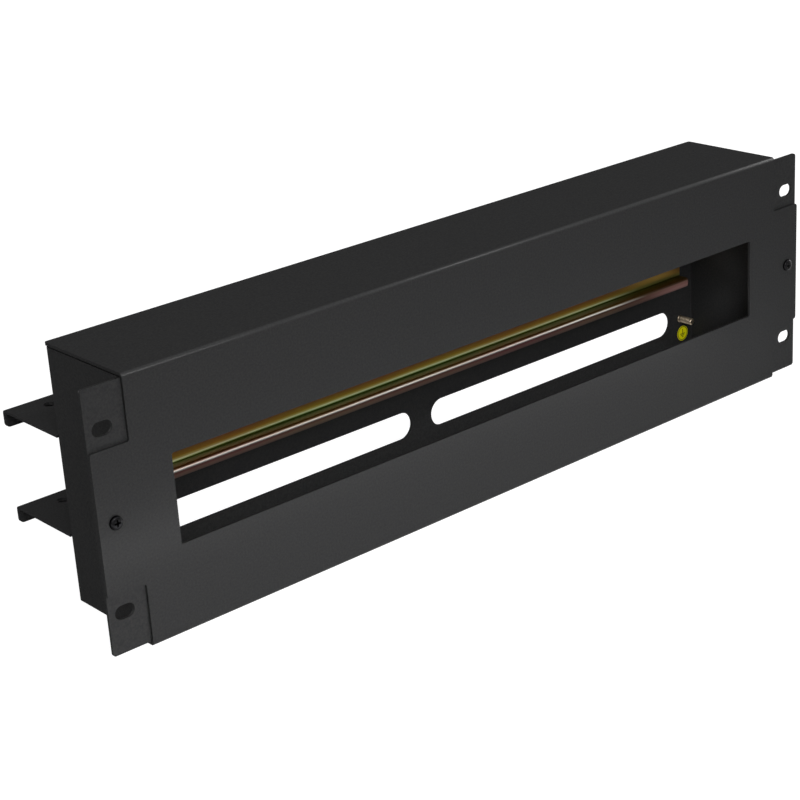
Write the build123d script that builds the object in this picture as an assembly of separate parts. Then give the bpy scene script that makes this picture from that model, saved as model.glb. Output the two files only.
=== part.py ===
from build123d import *
import os
from math import floor

# Rack-mount panel with a hat rail behind a window, for a 19-inch rack, 3 units high.
# Millimetres. X runs along the panel to its right end, Y to the rear, Z up.
# The origin is the centre of the four rack slots, on the plane where the ears seat on the rack.

# Rack interface, on the ears of the chassis
panel_width = 482.6
rack_slot_from_end = 8.75
rack_slot_from_edge = 22.2
rack_slot_length = 10.6
rack_slot_width = 7.0

# Chassis: ears, side walls and back wall folded from one sheet
chassis_sheet = 1.5
chassis_bend = 0.5
chassis_depth = 60.0
ear_width = 20.7
ear_corner = 1.5

# Cover: a front face with side ears, a deep top flange and a short bottom flange
cover_sheet = 1.5
cover_bend = 0.4
cover_height = 133.3
cover_gap = 0.7
cover_overhang = 0.5
cover_lower_flange = 15.0
cover_ear_height = 70.0
cover_ear_corner = 1.5
notch_corner = 1.0
flange_corner = 1.5

# Window for the row of modules
window_from_side = 21.0
window_height = 45.0
window_corner = 1.0

# Cable slots through the back wall, either side of the middle
cable_slot_from_side = 21.1
cable_slot_height = 15.4
cable_slot_bridge = 14.0
cable_slot_from_edge = 26.6

# Hat rail, 35 mm by 7.5 mm
rail_from_side = 12.6
rail_height = 35.0
rail_channel = 27.0
rail_depth = 7.5
rail_sheet = 1.0
rail_bend = 0.6
rail_slot_length = 15.0
rail_slot_width = 6.2
rail_slot_pitch = 25.0
rail_end_margin = 10.0
rail_end_corner = 1.2

# Rear supports: two folded plates that stand out behind the back wall
support_above_slot = 10.0
support_pitch = 50.8
support_sheet = 1.5
support_bend = 0.5
support_reach = 49.1
support_flange = 15.0
support_lip = 9.3
support_lip_corner = 2.5
support_end_tab = 6.0
support_relief = 1.5
support_relief_past_bend = 1.0
support_weld_gap = 0.2
tie_hole = 6.0
tie_hole_from_end = 19.0
tie_hole_from_lip = 12.0

# Screws and nuts that hold the cover on the ears
cover_screw_thread = 4.0
cover_screw_length = 8.0
cover_screw_head = 6.8
cover_screw_head_height = 1.8
cover_screw_crown = 0.6
recess_width = 3.6
recess_arm = 0.9
recess_depth = 1.2
recess_draft = 8.0
cover_nut_width = 7.0
cover_nut_height = 3.2

# Screws, washers and nuts that hold the rail on the back wall
rail_screw_thread = 5.0
rail_screw_length = 10.0
rail_screw_head = 8.0
rail_screw_head_height = 3.5
rail_nut_width = 8.0
rail_nut_height = 4.0
rail_washer_outer = 10.0
rail_washer_thickness = 1.0

# Shared by all the fasteners
screw_clearance = 0.5
thread_gap = 0.05

# Earth stud and the round label below it
stud_from_side = 11.6
stud_thread = 4.0
stud_length = 10.0
stud_collar = 5.2
stud_collar_height = 0.8
stud_chamfer = 0.5
label_from_side = 9.4
label_drop = 10.0
label_diameter = 9.2
label_thickness = 0.2

# Planes and places that the pieces share
box_width = panel_width - 2 * ear_width
rack_pitch_x = panel_width - 2 * rack_slot_from_end
rack_pitch_z = cover_height - 2 * rack_slot_from_edge
window_width = box_width - 2 * window_from_side
ear_front = -chassis_sheet
cover_front = ear_front - cover_sheet
wall_front = chassis_depth - chassis_sheet
chassis_height = cover_height - 2 * (cover_sheet + cover_gap)
cover_screw_x = rack_pitch_x / 2
cable_slot_z = cable_slot_from_edge - cover_height / 2
cable_slot_length = (box_width - cable_slot_bridge) / 2 - cable_slot_from_side
cable_slot_x = (cable_slot_bridge + cable_slot_length) / 2
lower_support_top = cable_slot_z + support_above_slot
upper_support_top = lower_support_top + support_pitch
rail_length = box_width - 2 * rail_from_side
rail_half_count = floor((rail_length / 2 - rail_end_margin - rail_slot_length / 2) / rail_slot_pitch)
rail_screw_x = rail_half_count * rail_slot_pitch
rail_seat = wall_front - rail_sheet
stud_x = box_width / 2 - stud_from_side
label_x = box_width / 2 - label_from_side
label_z = cable_slot_z - label_drop
sides = {"left": -1, "right": 1}
places = {"left": -1, "middle": 0, "right": 1}

# Seats of turned pieces: the foot is on the local origin and the piece rises along its own axis
standing = (Align.CENTER, Align.CENTER, Align.MIN)
hanging = (Align.CENTER, Align.CENTER, Align.MAX)


def front_plane(y):
    """A plane across the panel at depth y, seen from the front."""
    return Plane(origin=(0, y, 0), x_dir=(1, 0, 0), z_dir=(0, -1, 0))


def facing_front(x, y, z):
    """Places a piece whose own axis is +Z so that it points out of the front."""
    return Pos(x, y, z) * Rot(90, 0, 0)


def facing_rear(x, y, z):
    """Places a piece whose own axis is +Z so that it points to the rear."""
    return Pos(x, y, z) * Rot(-90, 0, 0)


def folded(points, sheet, inner_radius):
    """The section of a folded sheet along its middle line, with one bend radius."""
    return trace(FilletPolyline(*points, radius=inner_radius + sheet / 2), sheet)


def through_sheet(outline, y, sheet):
    """A cutter for an outline through a sheet whose front face is at depth y."""
    return extrude(front_plane(y - sheet) * outline, amount=-3 * sheet)


def block(*ranges):
    """A box that fills one range along each of X, Y and Z."""
    middle = [(low + high) / 2 for low, high in ranges]
    size = [abs(high - low) for low, high in ranges]
    return Pos(*middle) * Box(*size)


def corner_edges(body, axis, x, low=None):
    """Edges along an axis at the distance x from the middle, beyond a given height if one is set."""
    edges = body.edges().filter_by(axis)
    edges = edges.filter_by(lambda e: abs(abs(e.center().X) - x) < 0.01)
    return edges if low is None else edges.filter_by(lambda e: abs(e.center().Z) > low)


def chassis():
    """Ears, side walls and back wall, folded from one sheet and open above and below."""
    edge = panel_width / 2
    wall = (box_width - chassis_sheet) / 2
    front = -chassis_sheet / 2
    rear = chassis_depth - chassis_sheet / 2
    path = [(-edge, front), (-wall, front), (-wall, rear), (wall, rear), (wall, front), (edge, front)]
    body = extrude(folded(path, chassis_sheet, chassis_bend), amount=chassis_height / 2, both=True)
    body = fillet(corner_edges(body, Axis.Y, edge), ear_corner)
    rack_slot = SlotOverall(rack_slot_length, rack_slot_width)
    cable_slot = SlotOverall(cable_slot_length, cable_slot_height)
    for side in sides.values():
        for height in (-rack_pitch_z / 2, rack_pitch_z / 2):
            body -= through_sheet(Pos(side * rack_pitch_x / 2, height) * rack_slot, ear_front, chassis_sheet)
        screw_hole = Pos(side * cover_screw_x, 0) * Circle((cover_screw_thread + screw_clearance) / 2)
        body -= through_sheet(screw_hole, ear_front, chassis_sheet)
        body -= through_sheet(Pos(side * cable_slot_x, cable_slot_z) * cable_slot, wall_front, chassis_sheet)
    for place in places.values():
        screw_hole = Pos(place * rail_screw_x, 0) * Circle((rail_screw_thread + screw_clearance) / 2)
        body -= through_sheet(screw_hole, wall_front, chassis_sheet)
    return body


def front_cover():
    """Front face with its window, the flanges folded back from it and the two side ears."""
    face = cover_front + cover_sheet / 2
    top = (cover_height - cover_sheet) / 2
    top_rear = chassis_depth + cover_overhang
    bottom_rear = cover_front + cover_lower_flange
    path = [(top_rear, top), (face, top), (face, -top), (bottom_rear, -top)]
    section = Plane.YZ * folded(path, cover_sheet, cover_bend)
    body = extrude(section, amount=box_width / 2, both=True)
    body = fillet(corner_edges(body, Axis.Z, box_width / 2, top - cover_sheet), flange_corner)
    ears = fillet(Rectangle(panel_width, cover_ear_height).vertices(), cover_ear_corner)
    body += extrude(front_plane(cover_front) * ears, amount=-cover_sheet)
    notches = corner_edges(body, Axis.Y, box_width / 2)
    notches = notches.filter_by(lambda e: abs(abs(e.center().Z) - cover_ear_height / 2) < 0.01)
    body = fillet(notches, notch_corner)
    window = fillet(Rectangle(window_width, window_height).vertices(), window_corner)
    body -= through_sheet(window, cover_front, cover_sheet)
    for side in sides.values():
        hole = Pos(side * cover_screw_x, 0) * Circle((cover_screw_thread + screw_clearance) / 2)
        body -= through_sheet(hole, cover_front, cover_sheet)
    return body


def din_rail():
    """Hat rail with its channel on the back wall and both lips to the front."""
    lip = wall_front - rail_depth + rail_sheet / 2
    base = wall_front - rail_sheet / 2
    web = (rail_channel - rail_sheet) / 2
    end = rail_height / 2
    path = [(lip, end), (lip, web), (base, web), (base, -web), (lip, -web), (lip, -end)]
    body = extrude(Plane.YZ * folded(path, rail_sheet, rail_bend), amount=rail_length / 2, both=True)
    tips = corner_edges(body, Axis.Y, rail_length / 2, end - 0.01)
    body = fillet(tips, rail_end_corner)
    slot = SlotOverall(rail_slot_length, rail_slot_width)
    for step in range(-rail_half_count, rail_half_count + 1):
        body -= through_sheet(Pos(step * rail_slot_pitch, 0) * slot, rail_seat, rail_sheet)
    return body


def rear_support(top):
    """Plate standing out behind the back wall, with a flange turned up on the wall and a lip turned down.

    The flange stops short of both ends, with a relief beside it, and the plate runs on flat there.
    """
    end = box_width / 2
    middle = top - support_sheet / 2
    flange = chassis_depth + support_sheet / 2
    flange_top = top - support_sheet + support_flange
    rear = chassis_depth + support_reach
    lip = rear - support_sheet / 2
    path = [(flange, flange_top), (flange, middle), (lip, middle), (lip, top - support_lip)]
    body = extrude(Plane.YZ * folded(path, support_sheet, support_bend), amount=end, both=True)
    lip_tips = corner_edges(body, Axis.Y, end).sort_by(Axis.Z)[:2]
    body = fillet(lip_tips, support_lip_corner)
    flange_end = end - support_end_tab
    tab_end = flange_end + support_relief
    bend_end = chassis_depth + support_sheet + support_bend
    relief_end = bend_end + support_relief_past_bend
    plate = (top - support_sheet, top)
    past_flange = (top - 2 * support_sheet, flange_top + support_sheet)
    for side in sides.values():
        body -= block((side * flange_end, side * end), (chassis_depth, bend_end), past_flange)
        body += block((side * tab_end, side * end), (chassis_depth + support_weld_gap, bend_end), plate)
        body -= block((side * flange_end, side * tab_end), (chassis_depth, relief_end), past_flange)
        hole_place = Pos(side * (end - tie_hole_from_end), rear - tie_hole_from_lip, middle)
        body -= hole_place * Cylinder(tie_hole / 2, 3 * support_sheet)
    return body


def pan_screw():
    """Pan-head screw with a cross recess, seated at the local origin with its head up."""
    head = Cylinder(cover_screw_head / 2, cover_screw_head_height, align=standing)
    crown = head.edges().filter_by(GeomType.CIRCLE).sort_by(Axis.Z)[-1]
    head = chamfer(crown, cover_screw_crown)
    shank = Cylinder(cover_screw_thread / 2, cover_screw_length, align=hanging)
    arms = Rectangle(recess_width, recess_arm) + Rectangle(recess_arm, recess_width)
    recess = extrude(arms, amount=-recess_depth, taper=recess_draft)
    return head + shank - Pos(0, 0, cover_screw_head_height) * recess


def hexagon_screw(thread, length, head_width, head_height):
    """Hexagon-head screw, seated at the local origin with its head up."""
    head = extrude(RegularPolygon(head_width / 2, 6, major_radius=False), amount=head_height)
    return head + Cylinder(thread / 2, length, align=hanging)


def hexagon_nut(width, height, thread):
    """Hexagon nut on the local origin."""
    outline = RegularPolygon(width / 2, 6, major_radius=False)
    return extrude(outline - Circle(thread / 2 + thread_gap), amount=height)


def washer():
    """Plain washer on the local origin."""
    hole = (rail_screw_thread + screw_clearance) / 2
    return extrude(Circle(rail_washer_outer / 2) - Circle(hole), amount=rail_washer_thickness)


def earth_stud():
    """Weld stud with a small collar at its foot, on the local origin."""
    collar = Cylinder(stud_collar / 2, stud_collar_height, align=standing)
    shaft = Cylinder(stud_thread / 2, stud_length, align=standing)
    tip = shaft.edges().filter_by(GeomType.CIRCLE).sort_by(Axis.Z)[-1]
    return collar + chamfer(tip, stud_chamfer)


def earth_label():
    """Round adhesive label on the local origin."""
    return extrude(Circle(label_diameter / 2), amount=label_thickness)


def cover_fixings(side):
    """Screw through the cover and the ear, and its nut welded behind the ear."""
    x = sides[side] * cover_screw_x
    nut = hexagon_nut(cover_nut_width, cover_nut_height, cover_screw_thread)
    return {
        f"cover_screw_{side}": facing_front(x, cover_front, 0) * pan_screw(),
        f"cover_nut_{side}": facing_rear(x, 0, 0) * nut,
    }


def rail_fixings(place):
    """Screw and washer in the rail's channel, and the nut behind the back wall."""
    x = places[place] * rail_screw_x
    screw = hexagon_screw(rail_screw_thread, rail_screw_length, rail_screw_head, rail_screw_head_height)
    nut = hexagon_nut(rail_nut_width, rail_nut_height, rail_screw_thread)
    return {
        f"rail_screw_{place}": facing_front(x, rail_seat - rail_washer_thickness, 0) * screw,
        f"rail_washer_{place}": facing_front(x, rail_seat, 0) * washer(),
        f"rail_nut_{place}": facing_rear(x, chassis_depth, 0) * nut,
    }


def build():
    """All pieces by node name, each in its place."""
    nodes = {"chassis": chassis(), "front_cover": front_cover(), "din_rail": din_rail()}
    nodes["rear_support_upper"] = rear_support(upper_support_top)
    nodes["rear_support_lower"] = rear_support(lower_support_top)
    for side in sides:
        nodes.update(cover_fixings(side))
    for place in places:
        nodes.update(rail_fixings(place))
    nodes["earth_stud"] = facing_front(stud_x, wall_front, cable_slot_z) * earth_stud()
    nodes["earth_label"] = facing_front(label_x, wall_front, label_z) * earth_label()
    return nodes


os.makedirs("parts", exist_ok=True)
for node, shape in build().items():
    shape.label = node
    export_step(shape, f"parts/{node}.step")
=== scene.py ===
import math
import bmesh
import bpy
from mathutils import Matrix, Vector


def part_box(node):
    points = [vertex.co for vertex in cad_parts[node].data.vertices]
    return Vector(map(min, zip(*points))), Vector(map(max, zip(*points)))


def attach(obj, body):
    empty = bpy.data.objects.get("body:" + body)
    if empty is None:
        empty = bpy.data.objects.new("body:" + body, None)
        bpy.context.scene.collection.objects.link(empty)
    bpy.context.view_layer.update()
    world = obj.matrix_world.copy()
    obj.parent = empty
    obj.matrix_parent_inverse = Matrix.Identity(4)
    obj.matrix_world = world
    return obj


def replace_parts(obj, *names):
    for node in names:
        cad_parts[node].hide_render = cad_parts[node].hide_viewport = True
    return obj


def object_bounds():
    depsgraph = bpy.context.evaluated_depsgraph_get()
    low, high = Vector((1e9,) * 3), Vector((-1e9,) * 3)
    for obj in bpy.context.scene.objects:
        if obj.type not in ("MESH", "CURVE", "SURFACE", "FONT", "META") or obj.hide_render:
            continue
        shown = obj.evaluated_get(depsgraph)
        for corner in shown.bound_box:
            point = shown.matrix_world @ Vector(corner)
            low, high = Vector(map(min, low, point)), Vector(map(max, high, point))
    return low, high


# Rack-mount panel with a hat rail behind its window.
# Metres, in the frame of the CAD parts: X along the panel, Y to the rear, Z up.
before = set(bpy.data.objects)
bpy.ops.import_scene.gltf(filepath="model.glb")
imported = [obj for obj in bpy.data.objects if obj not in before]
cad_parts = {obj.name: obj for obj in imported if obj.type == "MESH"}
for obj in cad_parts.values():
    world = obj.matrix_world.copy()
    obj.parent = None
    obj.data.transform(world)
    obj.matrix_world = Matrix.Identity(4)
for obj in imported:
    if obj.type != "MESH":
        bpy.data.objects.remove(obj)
cad_low, cad_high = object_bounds()

MM = 0.001

# Camera, as a square picture sees the panel: its place in metres, its angles in radians, and its focal length in
# picture widths
CAMERA_PLACE = (-0.63911, -0.69255, 0.36017)
CAMERA_YAW = 0.6939
CAMERA_PITCH = -0.3752
CAMERA_ROLL = -0.0661
PICTURE_WIDTH = 800
CAMERA_FOCAL = 1970.4 / PICTURE_WIDTH
SENSOR_MM = 36.0


def linear(hex_colour):
    """An sRGB hex colour as the linear colour that a shader takes."""
    channels = [int(hex_colour[i : i + 2], 16) / 255 for i in (1, 3, 5)]
    return [c / 12.92 if c <= 0.04045 else ((c + 0.055) / 1.055) ** 2.4 for c in channels] + [1.0]


def add(owner, kind, settings=None, links=None, stops=None):
    """Adds a node to a material or the world, sets its properties, sockets and colour stops, and links its inputs."""
    node = owner.node_tree.nodes.new(kind)
    for name, value in (settings or {}).items():
        if isinstance(name, int) or name in node.inputs:
            node.inputs[name].default_value = value
        else:
            setattr(node, name, value)
    for name, source in (links or {}).items():
        owner.node_tree.links.new(source, node.inputs[name])
    for number, (place, colour) in enumerate(stops or []):
        elements = node.color_ramp.elements
        element = elements[number] if number < len(elements) else elements.new(place)
        element.position = place
        element.color = linear(colour)
    return node


def new_material(name):
    """An empty node material with its output node."""
    material = bpy.data.materials.new(name)
    material.use_nodes = True
    material.node_tree.nodes.clear()
    return material, material.node_tree.nodes.new("ShaderNodeOutputMaterial")


def finish_material(material, output, shader):
    """Links a shader to the surface and returns the material."""
    material.node_tree.links.new(shader, output.inputs["Surface"])
    return material


def powder_coat():
    """Black polyester powder coat, sprayed and baked: matt black with a fine orange-peel grain."""
    material, output = new_material("black_powder_coat")
    place = add(material, "ShaderNodeTexCoord").outputs["Object"]
    # The real grain is about 0.3 mm across; it is drawn at 1 mm so that it shows.
    grain_mm = 1.0
    grain = add(
        material,
        "ShaderNodeTexNoise",
        {"Scale": 1 / (grain_mm * MM), "Detail": 3.0, "Roughness": 0.6},
        {"Vector": place},
    )
    # Baking leaves the gloss a little uneven over a hand's width.
    cloud_mm = 60.0
    cloud = add(
        material,
        "ShaderNodeTexNoise",
        {"Scale": 1 / (cloud_mm * MM), "Detail": 2.0, "Roughness": 0.5},
        {"Vector": place},
    )
    tone = add(
        material,
        "ShaderNodeValToRGB",
        links={"Fac": grain.outputs["Fac"]},
        stops=[(0.3, "#2d2d2e"), (0.7, "#373737")],
    )
    roughness = add(
        material,
        "ShaderNodeMapRange",
        {"To Min": 0.5, "To Max": 0.6},
        {"Value": cloud.outputs["Fac"]},
    )
    bump = add(
        material,
        "ShaderNodeBump",
        {"Strength": 0.3, "Distance": 0.035 * MM},
        {"Height": grain.outputs["Fac"]},
    )
    # Over the folds that run along the panel the coat is stretched smooth and catches more light.
    facing = add(
        material,
        "ShaderNodeSeparateXYZ",
        links={"Vector": add(material, "ShaderNodeNewGeometry").outputs["Normal"]},
    )
    slant = add(
        material,
        "ShaderNodeMath",
        {"operation": "MULTIPLY"},
        {0: facing.outputs["Y"], 1: facing.outputs["Z"]},
    )
    fold = add(material, "ShaderNodeMath", {"operation": "ABSOLUTE"}, {0: slant.outputs["Value"]})
    gloss = add(
        material,
        "ShaderNodeMapRange",
        {"From Min": 0.05, "From Max": 0.45, "To Min": 0.04, "To Max": 0.16},
        {"Value": fold.outputs["Value"]},
    )
    shader = add(
        material,
        "ShaderNodeBsdfPrincipled",
        {"Specular IOR Level": 0.0, "Coat Roughness": 0.28, "Coat IOR": 2.0},
        {
            "Base Color": tone.outputs["Color"],
            "Roughness": roughness.outputs["Result"],
            "Coat Weight": gloss.outputs["Result"],
            "Normal": bump.outputs["Normal"],
        },
    )
    return finish_material(material, output, shader.outputs["BSDF"])


def yellow_zinc():
    """Yellow-chromated zinc on a rolled rail: a thin film whose colour runs from gold to green, rose and brown.

    The film's thickness follows the folds, so its colour is laid out along the rail's section, from the
    channel over the web to the lip, and drifts along the rail. The two halves of the section mirror each other.
    The same layout also carries painted highlights: a pale band on the channel's floor beside its fold into
    the web, and a white line on the web's fold into the lip.
    """
    material, output = new_material("yellow_chromated_zinc")
    coords = add(material, "ShaderNodeTexCoord").outputs["Object"]
    parts = add(material, "ShaderNodeSeparateXYZ", links={"Vector": coords})
    height = add(material, "ShaderNodeMath", {"operation": "ABSOLUTE"}, {0: parts.outputs["Z"]})
    unrolled = add(
        material,
        "ShaderNodeMath",
        {"operation": "SUBTRACT"},
        {0: height.outputs["Value"], 1: parts.outputs["Y"]},
    )
    # The bands drift by up to half a millimetre across the rail, about every 90 mm along it and every 5 mm across it.
    drift_mm = 0.9
    drifts_per_metre = (11.0, 200.0, 200.0)
    drift_place = add(material, "ShaderNodeMapping", {"Scale": drifts_per_metre}, {"Vector": coords})
    drift = add(
        material,
        "ShaderNodeTexNoise",
        {"Scale": 1.0, "Detail": 3.0, "Roughness": 0.5},
        {"Vector": drift_place.outputs["Vector"]},
    )
    shift = add(
        material,
        "ShaderNodeMath",
        {"operation": "MULTIPLY_ADD", 1: drift_mm * MM, 2: -drift_mm / 2 * MM},
        {0: drift.outputs["Fac"]},
    )
    path = add(
        material,
        "ShaderNodeMath",
        {"operation": "ADD"},
        {0: unrolled.outputs["Value"], 1: shift.outputs["Value"]},
    )
    # From the middle of the channel's floor, at 0, to the tip of the lip, at 1.
    channel_floor_mm = 57.0
    half_section_mm = 24.0
    section = add(
        material,
        "ShaderNodeMapRange",
        {"From Min": -channel_floor_mm * MM, "From Max": (half_section_mm - channel_floor_mm) * MM},
        {"Value": path.outputs["Value"]},
    )
    # The pale band from 0.425 to 0.463 and the white stop at 0.83 are painted highlights on two folds; the other
    # stops are the film's colour.
    film = add(
        material,
        "ShaderNodeValToRGB",
        links={"Fac": section.outputs["Result"]},
        stops=[
            (0.0, "#855936"),
            (0.27, "#8d5e3c"),
            (0.38, "#b88c34"),
            (0.425, "#d8c870"),
            (0.447, "#ffffd8"),
            (0.463, "#f4ffbc"),
            (0.478, "#5a6a22"),
            (0.492, "#2c3606"),
            (0.53, "#4a5608"),
            (0.565, "#4a4a06"),
            (0.62, "#4c3600"),
            (0.69, "#523602"),
            (0.74, "#765019"),
            (0.79, "#af866c"),
            (0.83, "#fffdf4"),
            (0.865, "#7c544b"),
            (0.92, "#967367"),
            (0.96, "#857069"),
            (1.0, "#554036"),
        ],
    )
    # Near the rail's right end the painted highlights fade out, and the pale bands give way to the film's rose.
    film_without_painted_highlights = add(
        material,
        "ShaderNodeValToRGB",
        links={"Fac": section.outputs["Result"]},
        stops=[
            (0.0, "#8d5e3c"),
            (0.38, "#a8803c"),
            (0.46, "#9a9554"),
            (0.5, "#423f0c"),
            (0.53, "#575010"),
            (0.62, "#6e5612"),
            (0.74, "#7c5c2a"),
            (0.83, "#8c6a5c"),
            (0.865, "#8a625a"),
            (0.92, "#9c746c"),
            (0.96, "#886a64"),
            (1.0, "#554036"),
        ],
    )
    highlight_fade_starts_mm = 145.0
    highlight_gone_mm = 172.0
    # 0 before the painted highlights start to fade along the rail, 1 where they are gone
    end = add(
        material,
        "ShaderNodeMapRange",
        {"From Min": highlight_fade_starts_mm * MM, "From Max": highlight_gone_mm * MM},
        {"Value": parts.outputs["X"]},
    )
    # The film's colours with their painted highlights, which fade out towards the right end
    film_with_painted_highlights = add(
        material,
        "ShaderNodeMixRGB",
        links={"Fac": end.outputs["Result"], "Color1": film.outputs["Color"], "Color2": film_without_painted_highlights.outputs["Color"]},
    )
    # The film's thickness also wanders over a hand's width along the rail, which turns its hue.
    wander_mm = 110.0
    wanders_across_per_metre = 60.0
    wander_place = add(
        material,
        "ShaderNodeMapping",
        {"Scale": (1 / (wander_mm * MM), wanders_across_per_metre, wanders_across_per_metre)},
        {"Vector": coords},
    )
    wander = add(
        material,
        "ShaderNodeTexNoise",
        {"Scale": 1.0, "Detail": 1.0},
        {"Vector": wander_place.outputs["Vector"]},
    )
    hue = add(
        material,
        "ShaderNodeMapRange",
        {"From Min": 0.3, "From Max": 0.7, "To Min": 0.475, "To Max": 0.53},
        {"Value": wander.outputs["Fac"]},
    )
    tinted = add(
        material,
        "ShaderNodeHueSaturation",
        links={"Hue": hue.outputs["Result"], "Color": film_with_painted_highlights.outputs["Color"]},
    )
    # Rolling marks run along the rail, 0.4 mm apart and 125 mm long.
    mark_mm = 0.4
    mark_length_mm = 125.0
    mark_place = add(
        material,
        "ShaderNodeMapping",
        {"Scale": (1 / (mark_length_mm * MM), 1 / (mark_mm * MM), 1 / (mark_mm * MM))},
        {"Vector": coords},
    )
    marks = add(
        material,
        "ShaderNodeTexNoise",
        {"Scale": 1.0, "Detail": 2.0},
        {"Vector": mark_place.outputs["Vector"]},
    )
    bump = add(
        material,
        "ShaderNodeBump",
        {"Strength": 0.15, "Distance": 0.01 * MM},
        {"Height": marks.outputs["Fac"]},
    )
    shader = add(
        material,
        "ShaderNodeBsdfPrincipled",
        {"Metallic": 0.8, "Roughness": 0.34},
        {"Base Color": tinted.outputs["Color"], "Normal": bump.outputs["Normal"]},
    )
    return finish_material(material, output, shader.outputs["BSDF"])


def plated(name, dark, light, roughness):
    """Zinc plating on a small turned or pressed steel piece: a metal with a faint cloudiness."""
    material, output = new_material(name)
    coords = add(material, "ShaderNodeTexCoord").outputs["Object"]
    cloud_mm = 1.5
    uneven = 0.06
    cloud = add(
        material,
        "ShaderNodeTexNoise",
        {"Scale": 1 / (cloud_mm * MM), "Detail": 3.0},
        {"Vector": coords},
    )
    tone = add(
        material,
        "ShaderNodeValToRGB",
        links={"Fac": cloud.outputs["Fac"]},
        stops=[(0.3, dark), (0.7, light)],
    )
    spread = add(
        material,
        "ShaderNodeMapRange",
        {"To Min": roughness - uneven, "To Max": roughness + uneven},
        {"Value": cloud.outputs["Fac"]},
    )
    shader = add(
        material,
        "ShaderNodeBsdfPrincipled",
        {"Metallic": 1.0},
        {"Base Color": tone.outputs["Color"], "Roughness": spread.outputs["Result"]},
    )
    return finish_material(material, output, shader.outputs["BSDF"])


def printed_vinyl(name, dark, light):
    """Printed self-adhesive vinyl: a strong colour with a slight gloss, nearly even but for the print's dots."""
    material, output = new_material(name)
    coords = add(material, "ShaderNodeTexCoord").outputs["Object"]
    print_mm = 0.5
    screen = add(material, "ShaderNodeTexNoise", {"Scale": 1 / (print_mm * MM)}, {"Vector": coords})
    tone = add(
        material,
        "ShaderNodeValToRGB",
        links={"Fac": screen.outputs["Fac"]},
        stops=[(0.3, dark), (0.7, light)],
    )
    shader = add(
        material,
        "ShaderNodeBsdfPrincipled",
        {"Roughness": 0.38, "IOR": 1.5},
        {"Base Color": tone.outputs["Color"]},
    )
    return finish_material(material, output, shader.outputs["BSDF"])


SHEET_NODES = ["chassis", "front_cover", "rear_support_upper", "rear_support_lower"]
BRIGHT_NODES = [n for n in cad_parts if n.startswith(("rail_screw", "rail_washer", "rail_nut", "cover_nut"))]
SOFT_EDGE_MM = 0.2
# Two points of neighbouring faces that lie this close are one
SAME_POINT_MM = 0.001
# The sheets' cut edges are sharper than this, and the facets of their folds and holes are not
CUT_EDGE_DEGREES = 60


def dress(nodes, material):
    """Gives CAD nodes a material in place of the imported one."""
    for name in nodes:
        for material_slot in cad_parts[name].material_slots:
            material_slot.material = material


def soften(nodes):
    """Rounds the cut edges of coated sheets by a narrow bevel, as the coat does where it flows over them.

    The CAD faces have no points in common, so a weld joins them for the bevel.
    """
    for name in nodes:
        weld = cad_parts[name].modifiers.new("join_faces", "WELD")
        weld.merge_threshold = SAME_POINT_MM * MM
        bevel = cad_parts[name].modifiers.new("soft_edges", "BEVEL")
        bevel.width = SOFT_EDGE_MM * MM
        bevel.segments = 2
        bevel.limit_method = "ANGLE"
        bevel.angle_limit = math.radians(CUT_EDGE_DEGREES)
        bevel.harden_normals = True


black_coat = powder_coat()
bright_zinc = plated("bright_zinc_plating", "#b4b8bd", "#cfd3d8", 0.32)
black_zinc = plated("black_zinc_plating", "#101011", "#1e1e1f", 0.22)
stud_zinc = plated("clear_zinc_plating", "#8d806d", "#b3a48e", 0.42)
yellow_vinyl = printed_vinyl("yellow_label_vinyl", "#fff600", "#fffa08")
black_print = printed_vinyl("black_label_print", "#0e0e0a", "#16160f")
dress(SHEET_NODES, black_coat)
soften(SHEET_NODES)
dress(["din_rail"], yellow_zinc())
dress(BRIGHT_NODES, bright_zinc)
dress(["cover_screw_left", "cover_screw_right"], black_zinc)
dress(["earth_stud"], stud_zinc)
dress(["earth_label"], yellow_vinyl)


def circle(mesh, radius, height, steps):
    """A ring of points round the Z axis."""
    angles = [math.tau * n / steps for n in range(steps)]
    return [mesh.verts.new((radius * math.cos(a), radius * math.sin(a), height)) for a in angles]


def join_rings(mesh, low, high):
    """Faces between two rings of as many points."""
    steps = len(low)
    for n in range(steps):
        m = (n + 1) % steps
        mesh.faces.new((low[n], low[m], high[m], high[n]))


def revolve(mesh, profile, steps):
    """Turns a profile of (radius, height) round the Z axis and returns its rings; a radius of 0 is one point."""
    rings = []
    for radius, height in profile:
        if radius == 0:
            rings.append([mesh.verts.new((0, 0, height))])
        else:
            rings.append(circle(mesh, radius, height, steps))
    for low, high in zip(rings, rings[1:]):
        if len(low) == len(high):
            join_rings(mesh, low, high)
            continue
        for n in range(steps):
            m = (n + 1) % steps
            if len(low) == 1:
                mesh.faces.new((low[0], high[m], high[n]))
            else:
                mesh.faces.new((low[n], low[m], high[0]))
    return rings


def finish_piece(name, mesh, material, place, smooth_degrees=35.0):
    """Makes an object of a mesh built in millimetres and rides it on the panel.

    The mesh's own +Z points out of the front, which is -Y in the shared frame.
    """
    bmesh.ops.recalc_face_normals(mesh, faces=mesh.faces)
    facing_front = Matrix.Rotation(math.radians(90), 4, "X") @ Matrix.Scale(MM, 4)
    bmesh.ops.transform(mesh, matrix=facing_front, verts=mesh.verts)
    for face in mesh.faces:
        face.smooth = True
    for edge in mesh.edges:
        edge.smooth = len(edge.link_faces) == 2 and edge.calc_face_angle(0) < math.radians(smooth_degrees)
    data = bpy.data.meshes.new(name)
    mesh.to_mesh(data)
    mesh.free()
    data.materials.append(material)
    piece = bpy.data.objects.new(name, data)
    piece.location = place
    bpy.context.scene.collection.objects.link(piece)
    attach(piece, "root")
    return piece


# The M4 thread of the cover screws and the earth stud
THREAD_RADIUS = 2.0
THREAD_PITCH = 0.7


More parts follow.
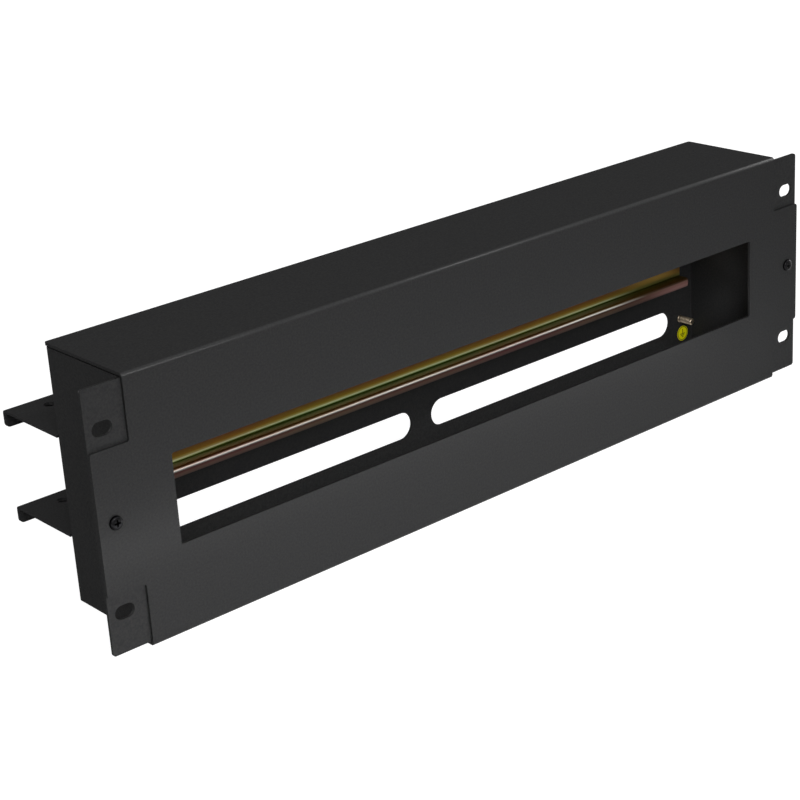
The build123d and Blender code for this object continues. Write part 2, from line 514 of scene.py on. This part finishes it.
def thread_profile(depth, start, end):
    """The outline of the thread drawn as rings: crests at the thread's radius, roots below it."""
    root = THREAD_RADIUS - depth
    outline = []
    height = start
    while height + THREAD_PITCH <= end + 1e-6:
        crest_starts = height + 0.4 * THREAD_PITCH
        crest_ends = height + 0.6 * THREAD_PITCH
        outline += [(root, height), (THREAD_RADIUS, crest_starts), (THREAD_RADIUS, crest_ends)]
        height += THREAD_PITCH
    outline.append((root, height))
    return outline


def pan_head(name, node):
    """Pan-head screw with a domed head, a cross recess with sloping walls and a threaded shank.

    The CAD head is replaced by this one of the same diameter and height.
    """
    low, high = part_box(node)
    head_radius = (high.x - low.x) / 2 / MM
    head_height = 1.8
    shank_end = -((high.y - low.y) / MM - head_height)
    mesh = bmesh.new()
    steps = 48
    # Head: a short straight rim with a broken lower edge, then a dome that rises to the recess's mouth
    broken = 0.15
    rim_height = 0.55
    mouth = 1.9
    dome_steps = 8
    profile = [
        (THREAD_RADIUS, 0.0),
        (head_radius - broken, 0.0),
        (head_radius, broken),
        (head_radius, rim_height),
    ]
    for n in range(1, dome_steps):
        along = n / dome_steps
        radius = head_radius - (head_radius - mouth) * along
        height = rim_height + (head_height - rim_height) * math.sin(math.acos(1 - along))
        profile.append((radius, height))
    rings = revolve(mesh, profile, steps)
    # Recess: the mouth ring is drawn as a cross whose arms taper to the middle
    cross_depth = 1.2
    top_reach, bottom_reach = 1.8, 0.95
    half_arm_top = 0.45
    half_arm_bottom = half_arm_top * 0.7

    def cross_ring(reach, half_arm, height):
        """One ring of the cross, with as many points as the dome's ring."""
        points = []
        for n in range(steps):
            angle = math.tau * n / steps
            turn = (angle + math.pi / 4) % (math.pi / 2) - math.pi / 4
            out = min(reach / math.cos(turn), half_arm / max(abs(math.sin(turn)), 1e-6))
            points.append((out * math.cos(angle), out * math.sin(angle), height))
        return [mesh.verts.new(p) for p in points]

    top = cross_ring(top_reach, half_arm_top, head_height)
    bottom = cross_ring(bottom_reach, half_arm_bottom, head_height - cross_depth)
    join_rings(mesh, rings[-1], top)
    join_rings(mesh, top, bottom)
    mesh.faces.new(bottom)
    # Shank below the head, from its chamfered tip up
    tip_radius = THREAD_RADIUS - 0.45
    thread_depth = 0.35
    tip_height = 0.2
    bare_neck = 0.3
    neck_radius = THREAD_RADIUS - 0.02
    shank = [(0, shank_end), (tip_radius, shank_end)]
    shank += thread_profile(thread_depth, shank_end + tip_height, -bare_neck)
    shank += [(neck_radius, 0.0)]
    revolve(mesh, shank, 32)
    seat = Vector(((low.x + high.x) / 2, low.y + head_height * MM, (low.z + high.z) / 2))
    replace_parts(finish_piece(name, mesh, black_zinc, seat, 28.0), node)


def threaded_stud():
    """Earth stud with rolled M4 threads, a plain foot and a chamfered tip, in place of the plain CAD stud."""
    low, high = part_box("earth_stud")
    length = (high.y - low.y) / MM
    foot_radius = 2.25
    foot_height = 0.5
    foot_slope_ends = 0.8
    thread_starts, thread_ends = 1.5, length - 1.1
    thread_depth = 0.4
    groove = 0.1
    chamfer_starts = length - 0.45
    tip_radius = 1.5
    mesh = bmesh.new()
    profile = [
        (0, 0.0),
        (foot_radius, 0.0),
        (foot_radius, foot_height),
        (THREAD_RADIUS, foot_slope_ends),
        (THREAD_RADIUS, thread_starts),
    ]
    profile += thread_profile(thread_depth, thread_starts + groove, thread_ends - groove)
    profile += [
        (THREAD_RADIUS, thread_ends),
        (THREAD_RADIUS, chamfer_starts),
        (tip_radius, length),
        (0, length),
    ]
    revolve(mesh, profile, 48)
    foot = Vector(((low.x + high.x) / 2, high.y, (low.z + high.z) / 2))
    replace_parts(finish_piece("threaded_earth_stud", mesh, stud_zinc, foot, 30.0), "earth_stud")


# How far the rim of a printed film slopes inwards
FILM_SLOPE = 0.02


def bar(mesh, x_low, x_high, z_low, z_high, thickness):
    """A flat printed bar, drawn as a thin raised film with a rim that slopes."""
    corners = [(x_low, z_low), (x_high, z_low), (x_high, z_high), (x_low, z_high)]
    middle = ((x_low + x_high) / 2, (z_low + z_high) / 2)
    base = [mesh.verts.new((x, z, 0.0)) for x, z in corners]
    top = []
    for x, z in corners:
        inward = Vector((middle[0] - x, middle[1] - z)).normalized() * FILM_SLOPE
        top.append(mesh.verts.new((x + inward.x, z + inward.y, thickness)))
    mesh.faces.new(top)
    join_rings(mesh, base, top)


def earth_sign():
    """The general earth sign printed on the label: a stem, three bars that shorten downwards, and a ring."""
    low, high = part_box("earth_label")
    radius = (high.x - low.x) / 2 / MM
    film = 0.03
    stem_half = 0.22
    stem_top = 2.7
    bar_height = 0.42
    # The top edge and half the length of each bar; the stem stands on the first
    bars = [(-0.1, 2.0), (-1.05, 1.3), (-2.0, 0.6)]
    mesh = bmesh.new()
    bar(mesh, -stem_half, stem_half, bars[0][0], stem_top, film)
    for bar_top, half in bars:
        bar(mesh, -half, half, bar_top - bar_height, bar_top, film)
    # Ring near the rim of the label
    inner_edge, outer_edge = radius - 0.75, radius - 0.4
    profile = [
        (inner_edge, 0.0),
        (inner_edge + FILM_SLOPE, film),
        (outer_edge - FILM_SLOPE, film),
        (outer_edge, 0.0),
    ]
    revolve(mesh, profile, 64)
    place = Vector(((low.x + high.x) / 2, low.y, (low.z + high.z) / 2))
    finish_piece("earth_sign_print", mesh, black_print, place)


pan_head("pan_head_screw_left", "cover_screw_left")
pan_head("pan_head_screw_right", "cover_screw_right")
threaded_stud()
earth_sign()


def camera():
    """The picture's own camera."""
    forward = Vector(
        (
            math.sin(CAMERA_YAW) * math.cos(CAMERA_PITCH),
            math.cos(CAMERA_YAW) * math.cos(CAMERA_PITCH),
            math.sin(CAMERA_PITCH),
        )
    )
    level = Vector((math.cos(CAMERA_YAW), -math.sin(CAMERA_YAW), 0.0))
    up = level.cross(forward)
    right = level * math.cos(CAMERA_ROLL) + up * math.sin(CAMERA_ROLL)
    up = right.cross(forward)
    data = bpy.data.cameras.new("camera")
    data.sensor_width = SENSOR_MM
    data.lens = SENSOR_MM * CAMERA_FOCAL
    data.clip_start = 0.01
    data.clip_end = 20.0
    seen = bpy.data.objects.new("camera", data)
    seen.matrix_world = Matrix.Translation(CAMERA_PLACE) @ Matrix((right, up, -forward)).transposed().to_4x4()
    bpy.context.scene.collection.objects.link(seen)
    bpy.context.scene.camera = seen


def seen_directly(owner):
    """1 for camera, glossy and transmission rays, and 0 for the rest."""
    path = add(owner, "ShaderNodeLightPath")
    mirrored = add(
        owner,
        "ShaderNodeMath",
        {"operation": "MAXIMUM"},
        {0: path.outputs["Is Glossy Ray"], 1: path.outputs["Is Transmission Ray"]},
    )
    return add(
        owner,
        "ShaderNodeMath",
        {"operation": "MAXIMUM"},
        {0: path.outputs["Is Camera Ray"], 1: mirrored.outputs["Value"]},
    ).outputs["Value"]


def floor():
    """A white floor that keeps the panel's shadow: a glow that only the eye and mirrors see, over pale paint."""
    material, output = new_material("white_floor")
    glow_strength = 0.95
    strength = add(
        material,
        "ShaderNodeMath",
        {"operation": "MULTIPLY", 1: glow_strength},
        {0: seen_directly(material)},
    )
    glow = add(
        material,
        "ShaderNodeEmission",
        {"Color": linear("#ffffff")},
        {"Strength": strength.outputs["Value"]},
    )
    paint = add(material, "ShaderNodeBsdfDiffuse", {"Color": linear("#959595")})
    both = add(material, "ShaderNodeAddShader", links={0: glow.outputs["Emission"], 1: paint.outputs["BSDF"]})
    finish_material(material, output, both.outputs["Shader"])
    mesh = bpy.data.meshes.new("floor")
    reach = 6.0
    corners = [(-reach, -reach, 0), (reach, -reach, 0), (reach, reach, 0), (-reach, reach, 0)]
    mesh.from_pydata(corners, [], [(0, 1, 2, 3)])
    mesh.materials.append(material)
    ground = bpy.data.objects.new("floor", mesh)
    ground.location.z = cad_low.z
    bpy.context.scene.collection.objects.link(ground)


# Soft rectangular lamps: name, place, what it points at, width and height in metres, and watts
LAMPS = [
    # The front and the top, from the left
    ("left_lamp", (-1.2, -1.5, 1.0), (0.0, 0.0, 0.0), 1.0, 0.8, 10.0),
    # The rail and the back wall, through the window
    ("window_lamp", (-0.55, -0.95, 0.95), (0.1, 0.05, -0.03), 0.5, 0.3, 2.8),
    ("inner_lamp", (-0.2, -0.6, 0.3), (0.22, 0.03, 0.0), 0.3, 0.15, 1.65),
    # A strip in front of the front's lower edge
    ("low_lamp", (-0.1, -0.09, -0.06), (-0.1, 0.0, -0.055), 0.7, 0.012, 0.235),
    # The light that the inner right wall passes on to the rail's end, the stud and the label
    ("inner_wall_lamp", (0.2165, 0.026, -0.024), (0.1, 0.04, -0.024), 0.036, 0.02, 0.0009),
    # A small, hard lamp that lights the top and gives the folds their line
    ("key_lamp", (1.15, -0.85, 1.4), (0.0, 0.0, 0.0), 0.2, 0.2, 5.0),
    # The back, the support plates and the sides
    ("rear_lamp", (-1.2, 1.6, 1.2), (0.0, 0.0, 0.0), 1.0, 0.8, 2.5),
    ("back_lamp", (-0.2, 1.7, 0.2), (0.0, 0.0, 0.0), 1.2, 0.5, 13.0),
    ("right_lamp", (1.7, 0.2, 0.3), (0.0, 0.0, 0.0), 0.8, 0.5, 12.0),
]


def hang_lamp(name, place, target, width, height, watts):
    """A soft rectangular lamp that points at a target."""
    data = bpy.data.lights.new(name, "AREA")
    data.shape = "RECTANGLE"
    data.size = width
    data.size_y = height
    data.energy = watts
    light = bpy.data.objects.new(name, data)
    light.location = place
    light.visible_camera = False
    light.rotation_mode = "QUATERNION"
    light.rotation_quaternion = (Vector(target) - Vector(place)).to_track_quat("-Z", "Y")
    bpy.context.scene.collection.objects.link(light)


def studio():
    """Soft studio light from all sides in a dim surround, which the eye and mirrors see as white."""
    world = bpy.data.worlds.new("studio")
    bpy.context.scene.world = world
    world.use_nodes = True
    world.node_tree.nodes.clear()
    output = world.node_tree.nodes.new("ShaderNodeOutputWorld")
    surround = add(world, "ShaderNodeBackground", {"Color": linear("#ffffff"), "Strength": 0.03})
    backdrop = add(world, "ShaderNodeBackground", {"Color": linear("#ffffff"), "Strength": 1.0})
    choice = add(
        world,
        "ShaderNodeMixShader",
        links={
            0: seen_directly(world),
            1: surround.outputs["Background"],
            2: backdrop.outputs["Background"],
        },
    )
    world.node_tree.links.new(choice.outputs["Shader"], output.inputs["Surface"])
    for settings in LAMPS:
        hang_lamp(*settings)


camera()
floor()
studio()
bpy.context.scene.view_settings.view_transform = "Standard"
